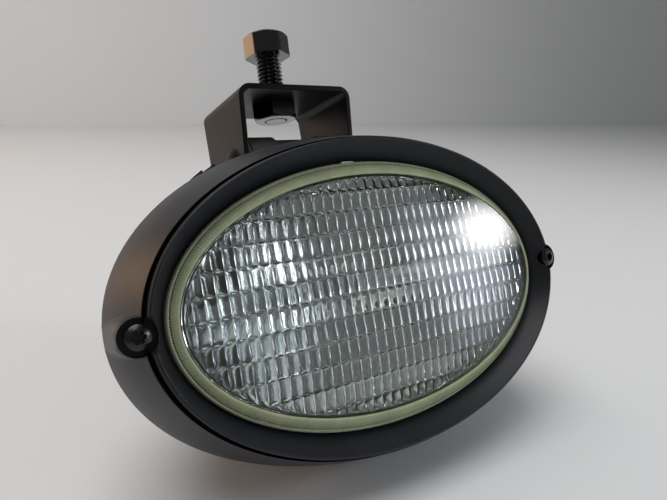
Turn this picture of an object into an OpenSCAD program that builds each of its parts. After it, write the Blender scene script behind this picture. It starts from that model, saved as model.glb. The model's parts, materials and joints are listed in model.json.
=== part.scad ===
// Oval halogen work light for a tractor cab, with a fluted glass lens, a two-screw bezel,
// a plastic rear housing and a U-shaped steel bracket that tilts and pans.
// The lamp head is drawn with its axis along Y, its face towards -Y and the crest of the
// bezel at y = 0. It then leans back until the skirt and the power socket touch the table.

/* [Bezel] */
// How far the skirt's rim stands out beyond the crest, at the ends of the oval
flare_a = 7; // [6.5:0.1:8.5]
// How far the skirt's rim stands out beyond the crest, at the top and bottom
flare_b = 6.5; // [6:0.1:8]
// How far the skirt's rim lies behind the bezel's crest
rim_y = 26.6; // [24:0.1:28]
// Half the width of the glass opening
window_a = 65; // [63:0.5:65.5]
// Half the height of the glass opening
window_b = 39.6; // [39:0.1:40]
// How far the glass opening lies behind the bezel's crest
window_y = 8; // [7.4:0.1:8.4]
// Width of the sloping face between opening and crest, at the ends of the oval
face_a = 5; // [4.6:0.1:5.5]
// Width of the sloping face between opening and crest, at the top and bottom
face_b = 6; // [5.6:0.1:6.4]
// Wall of the skirt
skirt_wall = 2.3; // [1.8:0.1:2.6]

/* [Bezel screws] */
// How far each screw's axis stands out beyond the crest
screw_out = 2; // [1.8:0.1:2.6]
// Diameter of the screw thread
screw_d = 3.5; // [3:0.5:4]
// Diameter of the screw head
screw_head_d = 6.2; // [5.5:0.1:7]
// Height of the screw head
screw_head_h = 3.2; // [2:0.1:3.4]
// Diameter of the recess round the head
recess_d = 9.3; // [9:0.1:10]
// Depth of the recess floor behind the crest
recess_y = 4.7; // [4.4:0.1:6]
// How much each screw boss widens from the recess floor back to the skirt's rim
boss_flare = 0.8; // [0.4:0.1:2.5]

/* [Glass and seals] */
// Half the width of the glass face, where its bevelled side starts
glass_a = 61.5; // [60:0.1:61.8]
// Half the height of the glass face, where its bevelled side starts
glass_b = 34.5; // [34:0.1:35.2]
// How far the edge of the glass face lies behind the bezel's crest
glass_face_y = 3.9; // [3.5:0.1:4.8]
// How far the glass face domes forward in the middle
glass_dome = 2.6; // [1:0.1:2.8]
// Thickness of the glass at its domed face
face_t = 2.6; // [2:0.1:4]
// Thickness of the glass's rim, front to back
glass_t = 4; // [3:0.1:4.5]
// Thickness of each lip of the lens gasket
lip_t = 1.6; // [1.2:0.1:2]
// Thickness of the olive rim that the gasket turns forward over the glass's bevel
cuff_t = 1.1; // [0.8:0.1:1.3]
// Thickness of the seal between bezel and housing
seal_t = 2.1; // [1.5:0.1:2.5]

/* [Reflector] */
// Depth of the reflector's curve, from its mouth to its vertex
bowl_depth = 40.4; // [38:0.1:42]
// Thickness of the reflector sheet
bowl_t = 1.5; // [1:0.1:1.8]
// Radius of the hole for the bulb
bulb_hole_r = 6.4; // [6.2:0.1:7]

/* [Housing] */
// Distance from the reflector's vertex back to the outside of the rear wall
tail_room = 19; // [18:0.5:24]
// Wall of the housing
housing_t = 2.5; // [2:0.1:3]
// Half the width of the housing's rear wall
tail_a = 31; // [28:0.5:36]
// Half the height of the housing's rear wall
tail_b = 25; // [22:0.5:27]
// Radius of the screw ears behind the skirt, before the deck's outline trims them
ear_r = 4.6; // [4.4:0.1:4.9]

/* [Pivot] */
// Height of the pivot above the lamp's axis
pivot_z = 50.4; // [50:0.1:53]
// Distance of the pivot behind the crest
pivot_y = 52.2; // [51:0.1:54]
// Diameter of the pivot bolt
pivot_d = 6; // [5:0.5:6]
// Wall of the steel bush in the lug
bush_t = 1; // [0.8:0.1:1.2]
// Plastic round the bush
lug_wall = 5.5; // [4.5:0.1:6]
// Extra radius of the lug at its two ends
lug_boss = 1.1; // [0.5:0.1:1.6]
// Length of each thicker end of the lug
lug_end_l = 10.5; // [9:0.5:13]
// Thickness of each friction washer
friction_t = 1.5; // [1:0.1:2]

/* [Bracket] */
// Width over the bracket's legs
bracket_w = 45.2; // [42:0.1:50]
// Thickness of the steel strap
strap_t = 2; // [1.6:0.1:2.5]
// Depth of the top plate
plate_d = 41.2; // [38:0.1:44]
// Distance of the plate's middle behind the pivot
plate_back = 8.3; // [7.5:0.1:9]
// Width of a leg at the height of the pivot
leg_d = 36.2; // [34:0.1:38]
// Height of the top face above the pivot
bracket_h = 27.1; // [26:0.1:32]
// Outer radius of the two bends
bend_r = 4.5; // [3.5:0.1:6]
// Lean of the bracket towards the lamp's face, from square to the lamp's axis
bracket_lean = 4.5; // [0:0.1:10]

/* [Mounting bolt] */
// Thread diameter of the mounting bolt
bolt_d = 10; // [8:0.5:10]
// Length of the bolt under its head
bolt_l = 25; // [22.5:0.1:26]
// Gap between the bolt's head and the top plate
clamp_gap = 16.8; // [15.5:0.1:18]
// Size across the flats of the bolt head
bolt_af = 16; // [15:0.5:18]
// Width of the chamfer round the top of the bolt head
bolt_chamfer = 1; // [0.4:0.1:1.6]
// Height of the bolt head
bolt_head_h = 8.6; // [6:0.1:9]
// Height of the nut under the plate
nut_h = 6.1; // [5:0.1:7]
// Size across the flats of the nut under the plate
nut_af = 16; // [15:0.5:17]

/* [Bulb] */
// Radius of the bulb's glass
bulb_r = 4.6; // [4:0.1:5]
// Distance from the bulb's mounting flange forward to the filament
filament_reach = 18; // [16:0.5:20]
// Radius of the bulb's mounting flange
flange_r = 8.8; // [8:0.1:9.5]
// Diameter of the sprung wire clip
clip_d = 1.4; // [1.2:0.1:1.6]

/* [Power socket] */
// Outer width of the socket's shroud
socket_w = 22; // [20:0.5:24]
// Outer height of the socket's shroud
socket_h = 13; // [12:0.5:14]
// Height of the socket's middle below the lamp's axis
socket_drop = 18; // [17.5:0.1:19]
// How far the socket reaches behind the rear wall
socket_l = 15.5; // [12:0.5:20]
// Wall of the socket's shroud
socket_wall = 1.8; // [1.5:0.1:2.2]
// Spacing of the two contact pins
pin_pitch = 6.4; // [6:0.1:8]
// Diameter of the contact pins
pin_d = 1.6; // [1.4:0.1:1.8]

/* [Hidden] */
$fn = 48;

// Points round each oval, and the clearances used everywhere
oval_n = 72;
fit = 0.05;
gap = 0.3;
over = 1;

// Bezel
crest_a = window_a + face_a;
crest_b = window_b + face_b;
rim_a = crest_a + flare_a;
rim_b = crest_b + flare_b;
screw_x = crest_a + screw_out;
step_y = 3.7;
pocket_y = window_y + 1.8;
pocket_lap = 2.4;
pocket_a = window_a + pocket_lap;
pocket_b = window_b + pocket_lap;
recess_r = recess_d / 2;

// Stack of parts behind the opening, front to back
glass_y = pocket_y + lip_t;
glass_back_y = glass_y + glass_t;
bevel_y = window_y + 0.9;
bevel_a = window_a - cuff_t - gap;
bevel_b = window_b - cuff_t - gap;
glass_lap = 0.7;
slack = 0.1;
cuff_start = 0.1;
cuff_rise = 1;
flange_y = glass_back_y + lip_t;
ledge_y = flange_y + bowl_t;
seal_y = ledge_y - seal_t;

// Housing, whose rear wall keeps its distance from the reflector
vertex_y = flange_y + bowl_depth;
housing_y = vertex_y + tail_room;
collar_wall = 1.7;
collar_a = pocket_a + collar_wall;
collar_b = pocket_b + collar_wall;
deck_y = rim_y + gap;
deck_t = 2.5;
deck_inset = 1.6;
ear_l = 8.5;
insert_r = screw_d / 2 + 0.9;
insert_l = 7;
tub_y = deck_y + deck_t;
tub_inset_a = 10;
tub_inset_b = 6;
tub_a = rim_a - tub_inset_a;
tub_b = rim_b - tub_inset_b;
tub_bulge = 0.7;
tail_edge_a = 7.5;
tail_edge_b = 4.2;
tail_edge_y = 5.5;
shoulder_a = tail_a + tail_edge_a;
shoulder_b = tail_b + tail_edge_b;
shoulder_y = housing_y - tail_edge_y;
breather_r = 3;
breather_x = -16;
breather_z = 12;

// Reflector and bulb
mouth_inset = 6.9;
mouth_a = pocket_a - mouth_inset;
mouth_b = pocket_b - mouth_inset;
bowl_start = 0.28;
bowl_back_y = vertex_y - bowl_depth * bowl_start ^ 2 + bowl_t;
seat_t = 1;
seat_r = 14.5;
seat_y = bowl_back_y + seat_t;
bulb_flange_t = 1.2;
bulb_back_y = seat_y + bulb_flange_t;
bulb_can_r = 5.2;
bulb_can_l = 4.3;
filament_y = seat_y - filament_reach;
bulb_pinch_l = 5;
bulb_skirt_l = 2;
bulb_pinch_y = bowl_back_y - bulb_pinch_l;
bulb_skirt_y = bowl_back_y - bulb_skirt_l;
rivet_x = 12.1;
rivet_r = 1.2;
rivet_head_r = 1.9;
rivet_head_t = 0.7;
clip_r = clip_d / 2;
clip_y = bulb_back_y + gap + clip_r;
clip_x = bulb_can_r + gap + clip_r;
clip_top = seat_r + 1;
clip_drop = 28;
hinge_x = clip_x + clip_r + 0.7;
hinge_t = 1;
lead_r = 1.1;

// Power socket
socket_z = -socket_drop;
socket_end = housing_y + socket_l;
socket_seal_t = 1;
socket_flange_h = 14;
socket_flange_t = 2;
socket_screw_d = 3;
socket_screw_l = 8;
socket_head_r = 2.6;
socket_head_h = 1.8;
socket_screw_x = socket_w / 2 + socket_head_r + gap;
socket_flange_w = 2 * (socket_screw_x + socket_head_r + gap);
spigot_w = 17.6;
spigot_h = 8;
spigot_l = 2.3;
pin_tail_l = 7.2;
pin_recess = 4;
crimp_l = 2;
spigot_y = housing_y - housing_t - spigot_l;
tail_pin_y = spigot_y - pin_tail_l;
terminal_y = tail_pin_y - crimp_l;
terminal_l = 8;
socket_flange_y = housing_y + socket_seal_t + socket_flange_t;

// Pivot and bracket
pivot_r = pivot_d / 2;
bush_r = pivot_r + fit + bush_t;
lug_r = bush_r + lug_wall;
lug_end_r = lug_r + lug_boss;
lug_spread = 7;
strap_gap = bracket_w / 2 - strap_t;
lug_half = strap_gap - friction_t - 2 * fit;
leg_x = bracket_w / 2;
leg_front = leg_d / 2 - plate_back;
leg_rear = leg_d / 2 + plate_back;
pivot_head_r = 2.3 * pivot_r;
pivot_head_h = 1.15 * pivot_r;
pivot_washer_t = 1.6;
pivot_nut_h = pivot_d;

// Mounting bolt, whose thread is drawn as a plain cylinder of its mean diameter
bolt_r = 0.45 * bolt_d;
plate_low = bracket_h - strap_t;
head_low = bracket_h + clamp_gap;
head_turn = 37;
nut_turn = 0;

// The head leans back about the line where the skirt's rim and the socket's rear edge
// both meet the table
socket_low = socket_z - socket_h / 2;
rest_tilt = atan2(socket_low + rim_b, socket_end - rim_y);
table_z = -rim_y * sin(rest_tilt) - rim_b * cos(rest_tilt);

// The lowest edge of the crest is the front of the whole lamp, the top plate's rear edge
// is its back, and the origin is halfway between them on the table
bracket_tilt = rest_tilt - bracket_lean;
front_y = -(crest_b - 0.2) * sin(rest_tilt) + 0.25 * cos(rest_tilt);
pivot_world_y = pivot_y * cos(rest_tilt) + pivot_z * sin(rest_tilt);
back_y = pivot_world_y + (plate_d / 2 + plate_back) * cos(bracket_tilt)
    + bracket_h * sin(bracket_tilt);
middle_y = (front_y + back_y) / 2;

bezel_black = "#1e2024";
housing_black = "#26272a";
strap_black = "#2b2826";
bolt_black = "#17181a";
olive = "#8a9272";
zinc = "#a9adb0";
brass = "#b59a4c";

// Places its children in the leaning lamp head
module in_head()
    translate([0, -middle_y, -table_z]) rotate([-rest_tilt, 0, 0]) children();

// Places its children in the bracket's own frame, with the pivot at the origin
module in_bracket()
    in_head() translate([0, pivot_y, pivot_z]) rotate([bracket_lean, 0, 0]) children();

// A cylinder along the lamp's axis, from depth y0 to depth y1
module rod_y(r, y0, y1, x = 0, z = 0, sides = $fn)
    translate([x, y0, z]) rotate([-90, 0, 0]) cylinder(h = y1 - y0, r = r, $fn = sides);

// A cylinder across the lamp, from x0 to x1
module rod_x(r, x0, x1, y = 0, z = 0, sides = $fn)
    translate([x0, y, z]) rotate([0, 90, 0]) cylinder(h = x1 - x0, r = r, $fn = sides);

module mirrored() {
    children();
    mirror([1, 0, 0]) children();
}

function oval_point(a, b, i) = [a * cos(360 * i / oval_n), b * sin(360 * i / oval_n)];

// A flat oval plate between two depths
module oval_plate(a, b, y0, y1)
    translate([0, y0, 0]) rotate([-90, 0, 0]) linear_extrude(y1 - y0)
        polygon([for (i = [0 : oval_n - 1]) oval_point(a, b, i)]);

// A skin through ovals, each given as [half width, half height, depth]. An open skin is
// closed by its first and last ovals, and a looped one joins its last oval to its first.
// The shift turns its points by a part of their spacing.
module oval_skin(ovals, looped = false, shift = 0) {
    n = oval_n;
    count = len(ovals);
    points = [for (o = ovals) for (i = [0 : n - 1])
        let (p = oval_point(o[0], o[1], i + shift)) [p[0], o[2], p[1]]];
    walls = [for (k = [0 : count - (looped ? 1 : 2)]) for (i = [0 : n - 1])
        let (near = k * n, far = ((k + 1) % count) * n, j = (i + 1) % n)
        each [[near + i, near + j, far + j], [near + i, far + j, far + i]]];
    caps = looped ? [] : [[for (i = [n - 1 : -1 : 0]) i],
        [for (i = [0 : n - 1]) (count - 1) * n + i]];
    polyhedron(points = points, faces = concat(walls, caps));
}

// A round wire that runs through the given points
module wire(route, r) {
    sides = 8;
    last = len(route) - 1;
    function run(i) = route[min(i + 1, last)] - route[max(i - 1, 0)];
    function across(i) = let (t = run(i) / norm(run(i)),
        side = i == 0 ? cross(t, [0.3, 0.2, 1]) : cross(t, cross(across(i - 1), t)))
        side / norm(side);
    points = [for (i = [0 : last])
        let (t = run(i) / norm(run(i)), u = across(i), v = cross(t, u))
        for (k = [0 : sides - 1])
            route[i] + r * (u * cos(360 * k / sides) + v * sin(360 * k / sides))];
    walls = [for (i = [0 : last - 1]) for (k = [0 : sides - 1])
        let (a = i * sides + k, b = i * sides + (k + 1) % sides)
        each [[a, b + sides, b], [a, a + sides, b + sides]]];
    caps = [[for (k = [0 : sides - 1]) k],
        [for (k = [sides - 1 : -1 : 0]) last * sides + k]];
    polyhedron(points = points, faces = concat(walls, caps));
}

// Points on a smooth curve through the given knots, with straight runs at both ends
function curve(knots, steps = 4) = [
    for (i = [0 : len(knots) - 2]) for (s = [0 : steps - (i == len(knots) - 2 ? 0 : 1)])
        let (p0 = knots[max(i - 1, 0)], p1 = knots[i], p2 = knots[i + 1],
            p3 = knots[min(i + 2, len(knots) - 1)], t = s / steps)
        0.5 * (2 * p1 + (p2 - p0) * t + (2 * p0 - 5 * p1 + 4 * p2 - p3) * t ^ 2
            + (3 * p1 - p0 - 3 * p2 + p3) * t ^ 3)];

// The skirt's outline half way down bulges a little beyond a straight cone
function skirt(share, bulge = 0.35) = [
    crest_a + 1 + (rim_a - crest_a - 1) * share + bulge * sin(180 * share),
    crest_b + 1 + (rim_b - crest_b - 1) * share + bulge * sin(180 * share),
    step_y + 0.3 + (rim_y - 0.6 - step_y - 0.3) * share];

// The space inside the bezel: its sloping face, the pocket for the glass and the housing's
// collar, each a little larger so that the screw bosses start inside the bezel's own walls.
// Half a step of shift keeps its corners off the edges of those walls.
module bezel_room() oval_skin([[crest_a - 0.6, crest_b - 0.6, -over],
    [crest_a - 0.6, crest_b - 0.6, 0.2], [window_a + 0.5, window_b + 0.5, window_y],
    [pocket_a + gap, pocket_b + gap, window_y + 0.5],
    [pocket_a + gap, pocket_b + gap, seal_y - 2 * slack],
    [collar_a + gap, collar_b + gap, seal_y - slack],
    [collar_a + gap, collar_b + gap, rim_y + over]], shift = 0.5);

module front_bezel() color(bezel_black) in_head() difference() {
    union() {
        oval_skin([[crest_a - 0.9, crest_b - 0.9, 0], [crest_a - 0.2, crest_b - 0.2, 0.25],
            [crest_a, crest_b, 0.9], [crest_a + 0.1, crest_b + 0.1, step_y],
            skirt(0), skirt(0.33), skirt(0.67), skirt(1),
            [rim_a - 0.3, rim_b - 0.3, rim_y], [rim_a - skirt_wall, rim_b - skirt_wall, rim_y],
            [rim_a - skirt_wall - 2.2, rim_b - skirt_wall - 1.9, seal_y],
            [pocket_a, pocket_b, seal_y], [pocket_a, pocket_b, pocket_y],
            [window_a + 0.3, window_b + 0.3, pocket_y], [window_a, window_b, window_y]],
            looped = true);
        mirrored() difference() {
            intersection() {
                translate([screw_x, recess_y - over, 0]) rotate([-90, 0, 0])
                    cylinder(h = rim_y - recess_y + over, r1 = recess_r - 2 * slack,
                        r2 = recess_r + boss_flare);
                oval_plate(rim_a, rim_b, 0, rim_y + over);
            }
            bezel_room();
        }
    }
    mirrored() rod_y(recess_r, -over, recess_y, screw_x);
    mirrored() rod_y(screw_d / 2 + 0.2, -over, rim_y + over, screw_x);
}

// An oval on the domed face of the glass, at a share of its width. With a wall it lies on
// the back of that face.
function dome(share, wall = 0) = [(glass_a - wall) * share, (glass_b - wall) * share,
    glass_face_y + wall - glass_dome * (1 - share ^ 2)];

// Pressed glass: a domed face with a bevelled side, on a flat rim. The flutes of the real
// glass are shallow, so the solid has a plain back.
module lens() color("#dfe8e6", 0.5) in_head() {
    shares = [0.15, 0.4, 0.65, 0.85, 1];
    oval_skin(concat([for (s = shares) dome(s)],
        [[bevel_a, bevel_b, bevel_y], [bevel_a, bevel_b, glass_y],
        [window_a + glass_lap, window_b + glass_lap, glass_y],
        [window_a + glass_lap, window_b + glass_lap, glass_back_y],
        [bevel_a - glass_t, bevel_b - glass_t, glass_back_y]],
        [for (i = [len(shares) - 1 : -1 : 0]) dome(shares[i], face_t)]));
}

function mix(a, b, share) = a + (b - a) * share;

// A ring with a groove that takes the rim of the glass, and a cuff that lies on its bevel.
// A small tab at the top of the cuff laps over the edge of the bezel's opening.
module lens_gasket() color(olive) in_head() {
    outer_a = pocket_a - slack;
    outer_b = pocket_b - slack;
    neck_a = window_a - 2 * slack;
    neck_b = window_b - 2 * slack;
    groove_a = window_a + glass_lap + slack;
    groove_b = window_b + glass_lap + slack;
    tip_a = mix(glass_a, bevel_a, cuff_start) + slack;
    tip_b = mix(glass_b, bevel_b, cuff_start) + slack;
    tip_y = mix(glass_face_y, bevel_y, cuff_start);
    tab_w = 5;
    tab_x = -7.7;
    oval_skin([[tip_a, tip_b, tip_y - cuff_rise],
        [tip_a + cuff_t, tip_b + cuff_t, tip_y - cuff_rise], [neck_a, neck_b, bevel_y - gap],
        [neck_a, neck_b, pocket_y], [outer_a, outer_b, pocket_y],
        [outer_a, outer_b, flange_y], [mouth_a, mouth_b, flange_y],
        [mouth_a, mouth_b, glass_back_y], [groove_a, groove_b, glass_back_y],
        [groove_a, groove_b, glass_y], [bevel_a + slack, bevel_b + slack, glass_y],
        [bevel_a + slack, bevel_b + slack, bevel_y], [tip_a, tip_b, tip_y]], looped = true);
    translate([tab_x, window_y - 2.4, window_b - 2.6]) cube([tab_w, 1.1, 3]);
}

// An oval on the reflector's curve, on its bright side or, with a wall, on its back
function bowl(share, wall = 0) = [mouth_a * share + wall, mouth_b * share + wall,
    vertex_y - bowl_depth * share ^ 2 + wall];

module reflector() color("#c9ccce") in_head() difference() {
    rim_wide = pocket_a - 0.4;
    rim_high = pocket_b - 0.4;
    shares = [bowl_start, 0.42, 0.56, 0.7, 0.82, 0.92, 1];
    oval_skin(concat([for (s = shares) bowl(s)],
        [[rim_wide, rim_high, flange_y], [rim_wide, rim_high, ledge_y]],
        [for (i = [len(shares) - 1 : -1 : 0]) bowl(shares[i], bowl_t)]));
    rod_y(bulb_hole_r, bowl_back_y - bowl_t - over, bowl_back_y + over);
    mirrored() rod_y(rivet_r + fit, bowl_back_y - bowl_t - over, bowl_back_y + over, rivet_x);
}

module housing_seal() color("#202224") in_head() difference() {
    oval_plate(collar_a, collar_b, seal_y, ledge_y);
    oval_plate(pocket_a + 0.1, pocket_b + 0.1, seal_y - over, ledge_y + over);
}

// Ovals of the tub from the deck behind the skirt to the rear wall
function tub(inset) = concat([for (s = [0 : 0.25 : 1])
    let (out = tub_bulge * sin(180 * s) - inset) [mix(tub_a, shoulder_a, s) + out,
        mix(tub_b, shoulder_b, s) + out, mix(tub_y, shoulder_y - inset / 2, s)]],
    [[mix(tail_a, shoulder_a, 0.43) - inset, mix(tail_b, shoulder_b, 0.47) - inset,
        mix(housing_y, shoulder_y, 0.33) - inset],
    [tail_a - inset, tail_b - inset, housing_y - inset]]);

// The lug is round at the top and spreads towards the tub's wall
module lug_side(r)
    translate([pivot_y, pivot_z]) union() {
        circle(r = r);
        polygon([[-r, 0], [r, 0], [r + lug_spread, shoulder_b - pivot_z],
            [-r - lug_spread, shoulder_b - pivot_z]]);
    }

module lug(r, x0, x1)
    translate([x0, 0, 0]) rotate([90, 0, 90]) linear_extrude(x1 - x0) lug_side(r);

// Small tabs that stand just proud of the skirt's rim, one pair on each side
module rim_tabs() {
    for (turn = [121.7, 125.3]) mirrored()
        translate([(rim_a - 0.6) * cos(turn), deck_y, (rim_b - 0.6) * sin(turn)])
            rotate([0, 90 - turn, 0]) translate([-1.9, 0, -2]) cube([3.8, deck_t, 3.2]);
}

module rear_housing() color(housing_black) in_head() difference() {
    union() {
        oval_plate(collar_a, collar_b, ledge_y, tub_y);
        oval_plate(rim_a - deck_inset, rim_b - deck_inset, deck_y, tub_y);
        oval_skin(tub(0));
        intersection() {
            mirrored() rod_y(ear_r, deck_y, deck_y + ear_l, screw_x);
            oval_plate(rim_a - deck_inset, rim_b - deck_inset, deck_y, deck_y + ear_l + over);
        }
        lug(lug_r, -lug_half, lug_half);
        lug(lug_end_r, -lug_half, -lug_half + lug_end_l);
        lug(lug_end_r, lug_half - lug_end_l, lug_half);
        rim_tabs();
    }
    oval_skin(tub(housing_t));
    oval_plate(mouth_a + bowl_t + 0.9, mouth_b + bowl_t + 0.9, ledge_y - over, tub_y + slack);
    mirrored() rod_y(insert_r, deck_y - over, deck_y + insert_l + gap, screw_x);
    rod_x(bush_r + 0.02, -lug_half - over, lug_half + over, pivot_y, pivot_z);
    block_y(spigot_w + 2 * slack, spigot_h + 2 * slack, housing_y - housing_t - over,
        housing_y + over, socket_z);
    mirrored() rod_y(socket_screw_d / 2 + 0.02, housing_y - housing_t - over,
        housing_y + over, socket_screw_x, socket_z);
    rod_y(breather_r, housing_y - housing_t - over, housing_y + over, breather_x, breather_z);
}

// Six-lobed drive, cut as three crossing slots
module star_drive(r, depth)
    for (turn = [0, 60, 120]) rotate([0, 0, turn])
        translate([-r, -0.3 * r, -depth]) cube([2 * r, 0.6 * r, depth + over]);

module bezel_screws() color(bolt_black) in_head() mirrored() {
    head_y = recess_y - screw_head_h;
    head_round = 0.84 * screw_head_d;
    difference() {
        union() {
            intersection() {
                rod_y(screw_head_d / 2, head_y, recess_y, screw_x);
                translate([screw_x, head_y + head_round, 0]) sphere(r = head_round);
            }
            rod_y(screw_d / 2 - fit, recess_y, deck_y + insert_l - 0.4, screw_x);
        }
        translate([screw_x, head_y, 0]) rotate([90, 0, 0])
            star_drive(screw_head_d * 0.26, screw_head_h / 2);
    }
}

module screw_inserts() color(brass) in_head() mirrored() difference() {
    rod_y(insert_r - 0.02, deck_y, deck_y + insert_l, screw_x);
    rod_y(screw_d / 2, deck_y - over, deck_y + insert_l + over, screw_x);
}

// Pressed plate on the back of the reflector, with two hinge ears and a catch for the clip
module bulb_seat() color(zinc) in_head() {
    arm_z = 8;
    catch_w = 8;
    catch_z = clip_top - clip_drop - clip_r - gap;
    difference() {
        union() {
            rod_y(seat_r, bowl_back_y, seat_y);
            translate([-hinge_x - hinge_t, bowl_back_y, arm_z])
                cube([2 * (hinge_x + hinge_t), seat_t, clip_top + clip_r + hinge_t - arm_z]);
            mirrored() translate([hinge_x, bowl_back_y, clip_top - clip_r - 2 * hinge_t])
                cube([hinge_t, clip_y + clip_r + hinge_t - bowl_back_y, clip_d + 3 * hinge_t]);
            translate([-catch_w / 2, bowl_back_y, catch_z - hinge_t])
                cube([catch_w, clip_y + 2 * clip_r - bowl_back_y, hinge_t]);
        }
        rod_y(bulb_hole_r - 0.1, bowl_back_y - over, seat_y + over);
        rod_x(clip_r + 0.08, -hinge_x - hinge_t - over, hinge_x + hinge_t + over, clip_y,
            clip_top);
        mirrored() rod_y(rivet_r + fit, bowl_back_y - over, seat_y + over, rivet_x);
    }
}

module seat_rivets() color(zinc) in_head() mirrored() {
    front_y = bowl_back_y - bowl_t;
    rod_y(rivet_r, front_y - rivet_head_t, seat_y + rivet_head_t, rivet_x);
    rod_y(rivet_head_r, seat_y, seat_y + rivet_head_t, rivet_x);
    rod_y(rivet_head_r, front_y - rivet_head_t, front_y, rivet_x);
}

// Quartz envelope, hollow round the filament
module bulb_glass() color("#e8eef0", 0.5) in_head() {
    wall = 0.8;
    tip_y = filament_y - 2.5;
    difference() {
        union() {
            rod_y(bulb_r, tip_y, bowl_back_y);
            translate([0, tip_y, 0]) sphere(r = bulb_r);
        }
        union() {
            rod_y(bulb_r - wall, tip_y, bulb_pinch_y);
            translate([0, tip_y, 0]) sphere(r = bulb_r - wall);
        }
    }
}

// Coiled filament across the bulb, with its two support wires
module bulb_filament() color("#8d8d8d") in_head() {
    rod_x(0.6, -2.5, 2.5, filament_y);
    mirrored() rod_y(0.3, filament_y, bulb_pinch_y, 2.2);
}

module bulb_base() color(zinc) in_head() difference() {
    union() {
        rod_y(flange_r, seat_y, bulb_back_y);
        rod_y(bulb_hole_r - 0.6, bulb_skirt_y, seat_y);
        rod_y(bulb_can_r, bulb_back_y, bulb_back_y + bulb_can_l);
    }
    rod_y(bulb_r + 0.02, bulb_skirt_y - over, bowl_back_y);
}

// Sprung wire loop. It turns in the seat's ears and presses on the bulb's flange.
module bulb_clip() color(zinc) in_head() {
    low = clip_top - clip_drop;
    rod_x(clip_r, -hinge_x - hinge_t - 0.6, hinge_x + hinge_t + 0.6, clip_y, clip_top, 24);
    rod_x(clip_r, -clip_x, clip_x, clip_y, low, 24);
    mirrored() translate([clip_x, clip_y, low]) cylinder(h = clip_drop, r = clip_r, $fn = 24);
    mirrored() translate([clip_x, clip_y, low]) sphere(r = clip_r, $fn = 24);
}

// The live lead passes behind the clip, clear of its swing, and both drop to the socket
function lead_end(side) = [[side * 9.5, terminal_y - 2.5, socket_z + 2],
    [side * 5, terminal_y - 3.7, socket_z],
    [side * pin_pitch / 2, terminal_y - 2, socket_z],
    [side * pin_pitch / 2, terminal_y - slack, socket_z]];
lead_y = bulb_back_y + bulb_can_l + slack;
bulb_lead_knots = concat([[0, lead_y, 0], [0, lead_y + 4, 0.5], [2, lead_y + 7.4, 5.5],
    [8.5, lead_y + 8.1, 7], [14, lead_y + 5.6, 1], [14, lead_y + 0.6, -9]], lead_end(1));
earth_lead_knots = concat([[-11, seat_y + slack, -5.5], [-11, seat_y + 3.2, -6],
    [-12.5, seat_y + 4.7, -11]], lead_end(-1));

module bulb_lead() color("#b03a2e") in_head() wire(curve(bulb_lead_knots), lead_r);

module earth_lead() color("#1c1c1e") in_head() wire(curve(earth_lead_knots), lead_r);

// Push-on sleeves, closed where the wire enters and open towards the socket
module lead_terminals() color(brass) in_head()
    for (side = [-1, 1]) difference() {
        rod_y(pin_d / 2 + 0.8, terminal_y, terminal_y + terminal_l, side * pin_pitch / 2,
            socket_z);
        rod_y(pin_d / 2 + 0.03, tail_pin_y - 0.5, terminal_y + terminal_l + over,
            side * pin_pitch / 2, socket_z);
    }

module block_y(w, h, y0, y1, z)
    translate([-w / 2, y0, z - h / 2]) cube([w, y1 - y0, h]);

// Two-pin inlet with a shroud that a plug pushes into
module power_socket() color("#1b1c1e") in_head() difference() {
    union() {
        block_y(spigot_w, spigot_h, spigot_y, socket_flange_y, socket_z);
        block_y(socket_flange_w, socket_flange_h, housing_y + socket_seal_t, socket_flange_y,
            socket_z);
        block_y(socket_w, socket_h, socket_flange_y - socket_flange_t / 2, socket_end,
            socket_z);
    }
    block_y(socket_w - 2 * socket_wall, socket_h - 2 * socket_wall, socket_flange_y,
        socket_end + over, socket_z);
    for (side = [-1, 1])
        rod_y(pin_d / 2 + 0.02, spigot_y - over, socket_flange_y + over,
            side * pin_pitch / 2, socket_z);
    mirrored() rod_y(socket_screw_d / 2 + 0.15, housing_y, socket_flange_y + over,
        socket_screw_x, socket_z);
}

module socket_pins() color(zinc) in_head()
    for (side = [-1, 1])
        rod_y(pin_d / 2, tail_pin_y, socket_end - pin_recess, side * pin_pitch / 2,
            socket_z);

module socket_seal() color("#303234") in_head() difference() {
    block_y(socket_flange_w - 1, socket_flange_h - 1, housing_y, housing_y + socket_seal_t,
        socket_z);
    block_y(spigot_w + 2 * slack, spigot_h + 2 * slack, housing_y - over,
        housing_y + socket_seal_t + over, socket_z);
    mirrored() rod_y(socket_screw_d / 2 + 0.15, housing_y - over,
        housing_y + socket_seal_t + over, socket_screw_x, socket_z);
}

module socket_screws() color(zinc) in_head() mirrored() {
    head_y = socket_flange_y + socket_head_h;
    difference() {
        union() {
            rod_y(socket_head_r, socket_flange_y, head_y, socket_screw_x, socket_z);
            rod_y(socket_screw_d / 2, socket_flange_y - socket_screw_l, socket_flange_y,
                socket_screw_x, socket_z);
        }
        translate([socket_screw_x, head_y, socket_z]) rotate([-90, 0, 0])
            star_drive(socket_head_r / 2, socket_head_h / 2);
    }
}

module breather_plug() color("#2c2e30") in_head() {
    rod_y(breather_r - fit, housing_y - housing_t - 0.8, housing_y, breather_x, breather_z);
    rod_y(breather_r + 2, housing_y, housing_y + 1.8, breather_x, breather_z);
}

module pivot_bush() color(zinc) in_head() difference() {
    rod_x(bush_r, -lug_half, lug_half, pivot_y, pivot_z);
    rod_x(pivot_r + fit, -lug_half - over, lug_half + over, pivot_y, pivot_z);
}

module friction_washers() color("#3a3c3e") in_bracket()
    mirrored() difference() {
        rod_x(lug_end_r - 0.3, lug_half + fit, strap_gap);
        rod_x(pivot_r + fit, lug_half - over, strap_gap + over);
    }

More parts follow.
